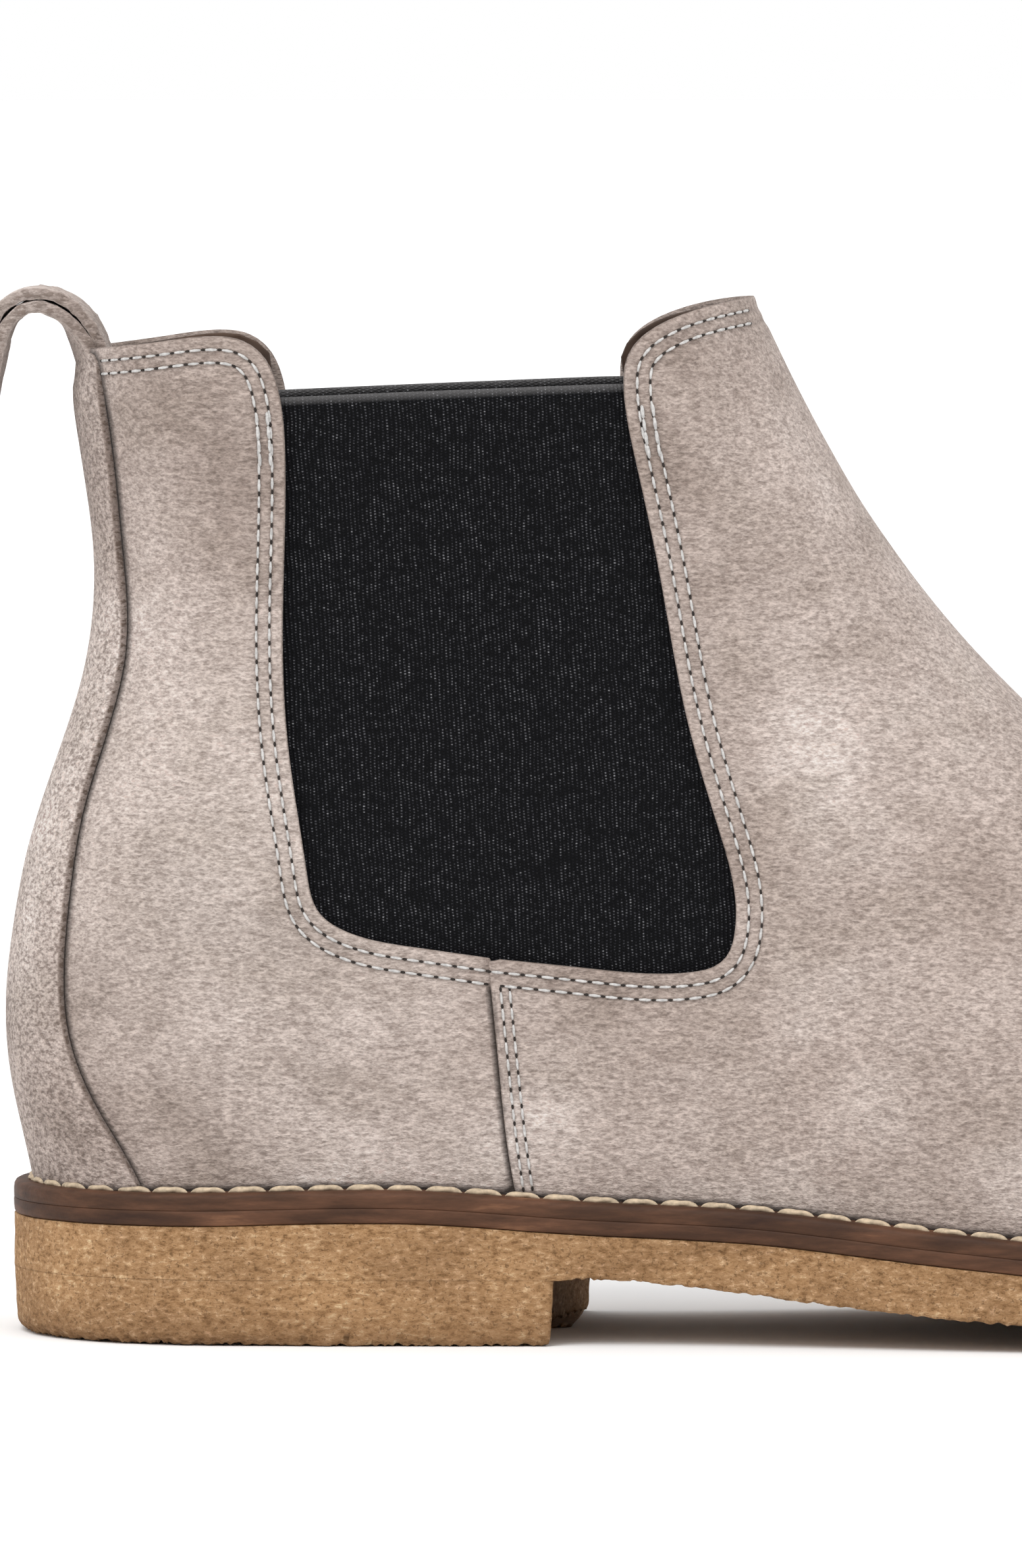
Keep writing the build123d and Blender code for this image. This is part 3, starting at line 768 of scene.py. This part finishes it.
SUEDE_LOOK = suede_material("suede")
STAY_LOOK = suede_material("suede_backstay", 1.0)
ELASTIC_LOOK = elastic_material()
LINING_LOOK = leather_material("lining", [(0.35, (0.030, 0.016, 0.010)), (0.65, (0.075, 0.042, 0.026))], 0.55)
WELT_LOOK = leather_material("welt_leather", [(0.30, (0.022, 0.008, 0.004)), (0.46, (0.055, 0.023, 0.0105)),
                                              (0.58, (0.098, 0.042, 0.021)), (0.72, (0.240, 0.113, 0.057))],
                             0.62, 75.0, 0.0004, (0.45, 0.7, 3.0))
CREPE_LOOK = crepe_material("crepe")
THREAD_LOOK = plain_material("thread", (0.52, 0.505, 0.49), 0.75, scale=1500.0)
WELT_THREAD_LOOK = plain_material("welt_thread", (0.52, 0.41, 0.285), 0.75, scale=1100.0)
# Near-black: painted shade in the needle holes.
HOLE_SHADE_LOOK = plain_material("needle_hole_shade", (0.022, 0.016, 0.013), 0.95)
BOARD_LOOK = leather_material("leather_board", [(0.35, (0.22, 0.15, 0.09)), (0.65, (0.34, 0.25, 0.16))], 0.8)


# ---- camera, floor and light
EYE = Vector((0.0406, -2.30, 0.2064))
TARGET = Vector((0.0406, 0.0, 0.0883))
FLOOR_REACH = 60.0          # far enough to leave no horizon behind the boot
SUNS = (("key", (-0.5, -0.75, 1.25), 1.35, 32.0), ("fill", (0.8, -0.7, 0.9), 0.4, 60.0))


def make_stage():
    """The camera, a pale floor and soft light."""
    camera = bpy.data.cameras.new("camera")
    camera.lens = 326.4
    camera.sensor_width = 36.0
    camera.clip_end = 5 * FLOOR_REACH
    eye = bpy.data.objects.new("camera", camera)
    eye.location = EYE
    eye.rotation_euler = (TARGET - EYE).to_track_quat("-Z", "Y").to_euler()
    bpy.context.scene.collection.objects.link(eye)
    bpy.context.scene.camera = eye

    floor_mesh = bpy.data.meshes.new("floor")
    corners = [(-FLOOR_REACH, -FLOOR_REACH, 0), (FLOOR_REACH, -FLOOR_REACH, 0),
               (FLOOR_REACH, FLOOR_REACH, 0), (-FLOOR_REACH, FLOOR_REACH, 0)]
    floor_mesh.from_pydata(corners, [], [(0, 1, 2, 3)])
    floor = bpy.data.objects.new("floor", floor_mesh)
    bpy.context.scene.collection.objects.link(floor)
    floor.data.materials.append(Look("floor", 0.9, 0.1).done((0.92, 0.92, 0.92)))

    world = bpy.data.worlds.new("studio")
    world.use_nodes = True
    sky = world.node_tree.nodes["Background"].inputs
    sky["Color"].default_value = (1.0, 1.0, 1.0, 1)
    sky["Strength"].default_value = 1.0
    bpy.context.scene.world = world
    for name, source, strength, softness in SUNS:
        lamp = bpy.data.lights.new(name, "SUN")
        lamp.energy = strength
        lamp.angle = math.radians(softness)
        light = bpy.data.objects.new(name, lamp)
        light.location = source
        light.rotation_euler = Vector(source).to_track_quat("Z", "Y").to_euler()
        bpy.context.scene.collection.objects.link(light)
    bpy.context.scene.view_settings.view_transform = "Standard"


make_stage()


# ---- upper
# The layers' material, slot, thickness, and how many steps of the grid a step of their mesh takes.
LAYERS = {"suede": (SUEDE_LOOK, "suede", 1.5, 1), "elastic": (ELASTIC_LOOK, "elastic", 0.9, 1),
          "leather": (LINING_LOOK, "lining", 0.8, 3), "board": (BOARD_LOOK, "stiffener", 0.9, 3)}


def make_upper():
    """The suede panels, the elastic, the stiffeners and the linings, one piece each."""
    quarter_sewn = smooth(QUARTER_EDGE)
    for side in ("lateral", "medial"):
        panel("quarter_" + side, "suede", side, QUARTER, 0.0, quarter_sewn, under=((VAMP, 1), (STAY, 0)))
        panel("gusset_" + side, "elastic", side, GUSSET, -SUEDE - 0.15, under=((ABOVE_ELASTIC, 0),))
        panel("quarter_lining_" + side, "leather", side, LINING_QUARTER, -UNDER_LINING)
    panel("vamp", "suede", "both", VAMP, 0.0, smooth(VAMP_EDGE), smooth(SEAM_RUN))
    panel("vamp_lining", "leather", "both", LINING_VAMP, -UNDER_LINING)
    panel("heel_counter", "board", "rear", STIFFENER, -UNDER_SUEDE)
    panel("toe_puff", "board", "both", PUFF, -UNDER_SUEDE)
    panel("backstay", "suede", "rear", STAY, BACKSTAY, smooth(BACK_TOPLINE))


make_upper()


# ---- stitching
def on_surface(x, z, side, lift):
    """Points and normals on the boot's side for points of the side view."""
    sign = -1 if side == "lateral" else 1

    def place(px, pz):
        return np.stack([px, middle(px) + sign * half_width(px, pz), pz], -1)

    points = place(x, z)
    by_x = place(x + 0.2, z) - place(x - 0.2, z)
    by_z = place(x, z + 0.2) - place(x, z - 0.2)
    normals = unit(np.cross(by_z, by_x))
    normals *= np.where(normals[:, 1] * sign < 0, -1.0, 1.0)[:, None]
    waves = np.array([relief_of(point) for point in points])
    return points + normals * (lift + waves)[:, None], normals


def offset_line(line, distance):
    """A line moved sideways by a distance, to its left."""
    along = unit(np.gradient(line, axis=0))
    return line + np.stack([-along[:, 1], along[:, 0]], 1) * distance


def stitches(points, normals, pitch, length, width, height, gap_seed, sides=7, rings=8, fullness=1.5):
    """Twisted stitches laid along a line on a surface: vertices and faces for each."""
    at = lengths(points)
    share = np.linspace(-1, 1, rings + 1)
    arch = np.sqrt(np.clip(1 - share**2, 0, 1))
    batches = []
    for number in range(int(at[-1] / pitch)):
        slack = 0.10 * math.sin(2.3 * number + gap_seed)
        steps = (number + 0.5) * pitch + share / 2 * length * (1 + slack * 0.4)
        line = spread(steps, at, points)
        up = unit(spread(steps, at, normals))
        aside = np.cross(unit(np.gradient(line, axis=0)), up)
        verts = []
        for i in range(rings + 1):
            size = max(0.18, min(1.0, fullness * arch[i])) * (1 + 0.6 * slack)
            for j in range(sides):
                turn = 2 * math.pi * j / sides
                ply = 1 + 0.16 * math.cos(2 * turn - share[i] * 5.0)
                out = up[i] * (math.sin(turn) * height * 0.5 * size * ply + height * (0.42 * arch[i] - 0.22))
                verts.append(line[i] + out + aside[i] * math.cos(turn) * width * 0.5 * size * ply)
        batches.append((verts, ring_faces(rings + 1, sides)))
    return batches


def collect(batches):
    """Several batches of vertices and faces as one."""
    verts, faces = [], []
    for more, shapes in batches:
        base = len(verts)
        verts += list(more)
        faces += [tuple(v + base for v in shape) for shape in shapes]
    return verts, faces


def even_line(run):
    """A smooth line through a run of points, in even steps of 0.4 mm."""
    line = smooth(run, 0.1)
    at = lengths(line)
    return spread(np.linspace(0, at[-1], int(at[-1] / 0.4)), at, line)


HOLE = (0.46, 0.24)         # a needle hole's half length and half width
HOLE_SIDES = 8
BACKTACK = (140.5, 150.5)   # between these heights the rows beside the window are sewn twice


def needle_hole_shades(points, normals, pitch):
    """A small dark dimple at each end of the stitches on a line, painted shade in the needle hole: vertices
    and faces for each.
    """
    at = lengths(points)
    batches = []
    for number in range(int(at[-1] / pitch) + 1):
        before, centre, after = spread(np.array([-0.2, 0.0, 0.2]) + number * pitch, at, points)
        up = spread([number * pitch], at, normals)[0]
        along = unit(after - before)
        aside = np.cross(along, up)
        verts = []
        for size, lift in ((1.0, -0.22), (0.8, -0.01)):
            for j in range(HOLE_SIDES):
                turn = 2 * math.pi * j / HOLE_SIDES
                flat = along * math.cos(turn) * HOLE[0] + aside * math.sin(turn) * HOLE[1]
                verts.append(centre + up * lift + flat * size)
        batches.append((verts, ring_faces(2, HOLE_SIDES)))
    return batches


def make_thread():
    """Double rows of stitches round the quarters, the windows and the flap, and down the side seam."""
    quarter_edge = even_line(QUARTER_EDGE[:-2])
    vamp_edge = even_line(VAMP_EDGE[2:])
    seam_edge = even_line(SEAM[::-1])
    seam_edge = seam_edge[seam_edge[:, 1] < ROWS_UNDER_WINDOW]
    seam = smooth(SEAM_RUN)
    for side in ("lateral", "medial"):
        batches, hole_shades = [], []
        for line, rows, lapped in ((quarter_edge, STITCH_ROWS, 0), (vamp_edge, STITCH_ROWS, 1),
                                   (seam_edge, SEAM_ROWS, 1)):
            for number, row in enumerate(rows):
                path = offset_line(line, row)
                room = np.minimum(from_ridge(path[:, 0], path[:, 1]), path[:, 0] - back(path[:, 1]))
                path = path[(room > 0.6) & (path[:, 1] > feather(path[:, 0]) + 0.6)]
                lift = lap_rise(line_distance(path, seam)) * lapped
                points, normals = on_surface(path[:, 0], path[:, 1], side, lift)
                batches += stitches(points, normals, STITCH_PITCH, 2.0, 0.43, 0.38, number * 1.7)
                hole_shades += needle_hole_shades(points, normals, STITCH_PITCH)
        # backtacks at the two upper corners of the window
        for run in (WINDOW_BACK, WINDOW_FRONT):
            line = even_line(run)
            high = line[(line[:, 1] > BACKTACK[0]) & (line[:, 1] < BACKTACK[1])]
            for row in (STITCH_ROWS[0] + 0.2, STITCH_ROWS[1] - 0.2):
                path = offset_line(high, row)
                points, normals = on_surface(path[:, 0], path[:, 1], side, 0.18)
                batches += stitches(points, normals, STITCH_PITCH * 0.8, 2.2, 0.55, 0.45, row)
        boot_piece("upper_thread_" + side, *collect(batches), THREAD_LOOK, "thread")
        # dark discs of painted shade in the needle holes
        boot_piece("needle_hole_shades_" + side, *collect(hole_shades), HOLE_SHADE_LOOK, "thread")


make_thread()


# ---- sole
def plan_line(margin, count=240):
    """The sole's plan outline, moved out by margin: x and y all round, medial side first."""
    back_end = HEEL_TIP - margin
    front_end = TOE_TIP + margin
    turn = np.linspace(0, np.pi, count + 1)
    x = back_end + (front_end - back_end) * (1 - np.cos(turn)) / 2
    half = (foot_width(x) - 1 + margin) * ellipse((x - back_end) / (HEEL_ROUND + 3 + margin))
    half = half * ellipse((front_end - x) / (TOE_ROUND + margin), 2.3)
    half[0] = half[-1] = 0
    medial = np.stack([x, middle(x) + half], 1)
    lateral = np.stack([x, middle(x) - half], 1)
    return np.concatenate([medial, lateral[-2:0:-1]])


def even_loop(line, count):
    """A closed line resampled to evenly spaced points."""
    closed = np.concatenate([line, line[:1]])
    at = lengths(closed)
    return spread(np.linspace(0, at[-1], count, endpoint=False), at, closed)


def loop_normals(loop):
    """Outward directions in plan at the points of a closed loop."""
    along = unit(np.roll(loop, -1, 0) - np.roll(loop, 1, 0))
    out = np.stack([-along[:, 1], along[:, 0]], 1)
    if ((loop - loop.mean(0)) * out).sum() < 0:
        out = -out
    return out


AROUND = 1400
SOLE_LOOP = even_loop(plan_line(WELT_LEDGE), AROUND)
SOLE_OUT = loop_normals(SOLE_LOOP)


def sole_band(name, profile, node, roughness):
    """A ring of the sole's edge: profile is (out, down) from the top outer corner, round the section."""
    rows = []
    for out, down in profile:
        line = SOLE_LOOP + SOLE_OUT * out
        z = feather(SOLE_LOOP[:, 0]) - down
        waver = np.array([drift((x, y, down * 4), 9, 5.0) for x, y in SOLE_LOOP]) * roughness
        reach = 1.0 if out > -3 else 0.0
        line = line + SOLE_OUT * (waver * reach)[:, None]
        rows.append(np.column_stack([line, z]))
    faces = ring_faces(len(profile), AROUND, True)
    boot_piece(name, np.concatenate(rows), faces, WELT_LOOK, "welt_leather", node)


def make_welt():
    """The welt strip with its rounded, burnished lip, and the midsole under it."""
    lip = [(-11.0, 0.0), (-4.4, 0.0), (-2.6, 0.03), (-1.4, 0.0), (-0.75, 0.08), (-0.3, 0.32), (-0.05, 0.75),
           (0.02, 1.4), (0.0, 2.2), (-0.01, 2.68), (-0.10, 2.79), (-11.0, 2.79)]
    sole_band("welt_strip", lip, "welt", 0.10)
    edge = [(-14.0, 2.81), (-0.12, 2.81), (-0.02, 2.92), (0.02, 3.3), (0.03, 4.2), (-0.02, 4.95),
            (-0.22, 5.2), (-14.0, 5.28)]
    sole_band("midsole_edge", edge, "midsole", 0.12)


make_welt()


def make_welt_thread():
    """The row of long stitches on top of the welt, close to the upper."""
    line = even_loop(plan_line(0.0), 2000)
    out = loop_normals(line)
    line = line + out * 1.55
    points = np.column_stack([line, feather(line[:, 0]) + 0.12])
    points = np.concatenate([points, points[:1]])
    normals = np.tile([0.0, 0.0, 1.0], (len(points), 1))
    row = stitches(points, normals, WELT_STITCH_PITCH, 5.9, 1.25, 1.05, 0.4, 12, 14, 1.02)
    boot_piece("welt_thread", *collect(row), WELT_THREAD_LOOK, "thread")


make_welt_thread()


def rough(points, out, amount, seed):
    """Crepe's matted surface: points pushed in and out by a few sizes of noise."""
    push = np.array([0.5 * drift(p, 7, seed) + 0.35 * drift(p, 2.6, seed + 1) + 0.25 * drift(p, 1.3, seed + 2)
                     for p in points])
    return points + out * (push * amount)[:, None]


def torn_up(points):
    """How far bits are torn out of an edge of the crepe at the ground."""
    return 2.4 * np.array([abs(drift(p, 1.8, 17.0)) for p in points])


def drawn_in(edge, share):
    """The edge of a wall, carried towards the middle line."""
    line = np.column_stack([edge[:, 0], edge[:, 1] * (1 - share) + middle(edge[:, 0]) * share])
    line[:, 0] += (edge[:, 0].mean() - edge[:, 0]) * share * 0.06
    return line


def crepe_block(name, loop, top, bottom, rows, node, pulls, ragged, taper=0.0, rounded=0.0):
    """A slab of crepe: rough walls between two height functions, closed above and below.

    pulls are how far the wall's top and bottom corners are rounded in, ragged how torn its lower edge
    is, and rounded the extra rounding at the ground; each may vary round the loop."""
    count = len(loop)
    out = loop_normals(loop)
    flat_out = np.column_stack([out, np.zeros(count)])
    ragged = np.broadcast_to(ragged, count)
    high = top(loop[:, 0])
    low = bottom(loop[:, 0])
    rings = []
    shares = np.concatenate([[0.0], np.linspace(0.015, 0.985, rows), [1.0]])
    for number, share in enumerate(shares):
        z = high + (low - high) * share
        pull = {0: pulls[0], len(shares) - 1: pulls[1]}.get(number, 0.0)
        near_ground = max(0.0, (share - 0.75) / 0.25)
        corner = rounded * (1 - math.sqrt(1 - near_ground**2))
        line = loop - out * np.reshape(pull + taper * share + corner, (-1, 1))
        points = np.column_stack([line, z])
        torn = ragged * (share > 0.9)
        points = rough(points, flat_out, 0.34 + torn, 11.0)
        points[:, 2] += torn_up(points) * torn
        rings.append(points)
    head = loop - out * np.reshape(pulls[0], (-1, 1))
    foot = loop - out * np.reshape(pulls[1] + taper + rounded, (-1, 1))
    under, over = [], []
    for share in (0.06, 0.2, 0.45, 0.72, 0.95):
        line = drawn_in(foot, share)
        flat = np.column_stack([line, bottom(line[:, 0])])
        flat[:, 2] += np.array([max(0.0, drift(p, 2.2, 21.0)) for p in flat]) * 0.4 * min(1.0, share * 5)
        if not under:
            flat[:, 2] += torn_up(flat) * ragged
        under.append(flat)
        line = drawn_in(head, share)
        over.append(np.column_stack([line, top(line[:, 0]) - 0.02]))
    sheets = over[::-1] + rings + under
    boot_piece(name, np.concatenate(sheets), ring_faces(len(sheets), count), CREPE_LOOK, "crepe", node)


def heel_loop():
    """The heel block's plan: the sole's outline at the back, then the hollow breast."""
    line = plan_line(WELT_LEDGE - 0.1, 400)
    keep = (line[:, 0] < HEEL_BREAST) | ((line[:, 1] > 0) & (line[:, 0] < HEEL_BREAST_MEDIAL))
    medial = line[keep & (line[:, 1] >= 0)]
    medial = medial[np.argsort(medial[:, 0])]
    lateral = line[keep & (line[:, 1] < 0)]
    lateral = lateral[np.argsort(-lateral[:, 0])]
    start, end = medial[-1], lateral[0]
    share = np.linspace(0, 1, 60)[1:-1]
    breast = start + (end - start) * share[:, None]
    breast[:, 0] -= BREAST_HOLLOW * np.sin(np.pi * share) ** 0.8
    loop = even_loop(np.concatenate([medial, breast, lateral]), 900)
    kernel = np.ones(13) / 13
    wrap = np.concatenate([loop[-6:], loop, loop[:6]])
    return np.stack([np.convolve(wrap[:, k], kernel, "valid") for k in range(2)], 1)


def make_crepe():
    """The crepe outsole and the heel block."""
    def sole_top(x):
        return feather(x) - WELT - MIDSOLE - 0.02

    slab = even_loop(plan_line(WELT_LEDGE - 0.1), 1200)
    open_edge = (slab[:, 0] > HEEL_BREAST) * 0.35
    crepe_block("crepe_outsole_slab", slab, sole_top, lambda x: crepe_bottom(x) + 0.02, 11, "crepe_outsole",
                (0.3, open_edge), open_edge)
    heel = heel_loop()
    behind = np.clip((15 - heel[:, 0]) / 25, 0.15, 1)
    crepe_block("crepe_heel_block", heel, lambda x: x * 0 + HEEL_HEIGHT, lambda x: x * 0 + 0.02,
                15, "crepe_heel", (0.0, 0.3), 0.6, taper=0.4, rounded=1.9 * behind)


make_crepe()


# ---- pull tab
TAB_OVER = [(-23.6, 149), (-24.2, 154.5), (-26.0, 160.6), (-29.8, 165.8), (-35.6, 168.0), (-41.0, 165.8),
            (-43.9, 159.8), (-45.2, 152.6), (-46.9, 145.3), (-49.3, 137.8), (-51.7, 131.4)]
TAB_FOLD = [(-52.0, 129.9), (-51.0, 129.4)]
TAB_UNDER = [(-49.8, 130.4), (-47.4, 137.0), (-45.0, 144.6), (-43.2, 152.2), (-41.9, 159.3), (-39.6, 164.3),
             (-35.6, 165.9), (-32.0, 164.2), (-29.9, 160.2), (-28.7, 156.2), (-28.2, 152.6)]
TAB_CORNER = 0.45
HEEL_CURL = 1 / 52.0        # how the topline curves round behind the heel, per mm


def tab_profile():
    """The strip's section: (across, outwards) all round, rounded at its cut edges."""
    half = TAB_WIDTH / 2
    thick = TAB_LAYER / 2
    inset = half - TAB_CORNER
    rim = [(-inset, thick), (inset, thick), (half - 0.1, thick - 0.3), (half, thick - 0.8),
           (half, 0.8 - thick), (half - 0.1, 0.3 - thick), (inset, -thick), (-inset, -thick),
           (0.1 - half, 0.3 - thick), (-half, 0.8 - thick), (-half, thick - 0.8), (0.1 - half, thick - 0.3)]
    across = []
    for (y0, n0), (y1, n1) in zip(rim, rim[1:] + rim[:1]):
        steps = max(1, int(abs(y1 - y0) / 0.8))
        across += [(y0 + (y1 - y0) * k / steps, n0 + (n1 - n0) * k / steps) for k in range(steps)]
    return across


def make_tab():
    """The doubled suede strip: over the top, folded at its end and back under to the backstay."""
    path = smooth(TAB_OVER + TAB_FOLD + TAB_UNDER, 0.6)
    along = unit(np.gradient(path, axis=0))
    out = np.stack([along[:, 1], -along[:, 0]], 1)
    if out[len(path) // 4][1] < 0:
        out = -out
    half = TAB_WIDTH / 2
    across = tab_profile()
    turned = len(path) // 2 + int(np.argmax(path[len(path) // 2:, 1]))
    verts, cuts = [], []
    for number, (place, side) in enumerate(zip(path, out)):
        sewn_down = np.clip((165.5 - place[1]) / 6, 0, 1) if number > turned else 0.0
        for y, n in across:
            spot = (number * 0.6, y, n)
            torn = 0.5 * drift(spot, 1.1, 37.0) if abs(y) > half - 0.5 else 0.0
            rise = n + 0.28 * drift(spot, 7, 31.0) + 0.16 * drift(spot, 2.5, 33.0) + torn * 0.6
            ragged = 1 + 0.012 * drift((number * 0.6, n, 0), 3.0, 35.0) + torn / half
            curl = sewn_down * y * y * HEEL_CURL
            verts.append((place[0] + side[0] * rise + curl, y * ragged, place[1] + side[1] * rise))
            cuts.append(0.8 if abs(y) > half - 0.3 else 0.0)
    far = [FAR] * len(verts)
    marks = {"edge": far, "gap_distance": far, "cut": cuts}
    faces = ring_faces(len(path), len(across))
    tab = new_object("pull_tab_strip", verts, faces, SUEDE_LOOK, marks)
    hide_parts("pull_tab")
    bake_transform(tab)


make_tab()


# ---- carried-over CAD nodes
def dress(node, look):
    """Give a CAD node a material of the scene's own."""
    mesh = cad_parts[node]
    if not mesh.material_slots:
        mesh.data.materials.append(look)
    for place in mesh.material_slots:
        place.material = look


dress("sock_liner", LINING_LOOK)
FIBRE_STOPS = [(0.35, (0.28, 0.2, 0.13)), (0.65, (0.4, 0.3, 0.2))]
CORK_STOPS = [(0.38, (0.2, 0.12, 0.06)), (0.62, (0.42, 0.27, 0.15))]
dress("insole_board", leather_material("fibre_board", FIBRE_STOPS, 0.85))
dress("heel_pad", plain_material("heel_foam", (0.09, 0.09, 0.09), 0.9))
dress("cork_filler", leather_material("cork", CORK_STOPS, 0.9, 300.0))
dress("shank", plain_material("spring_steel", (0.45, 0.45, 0.47), 0.35, 1.0, 900.0))
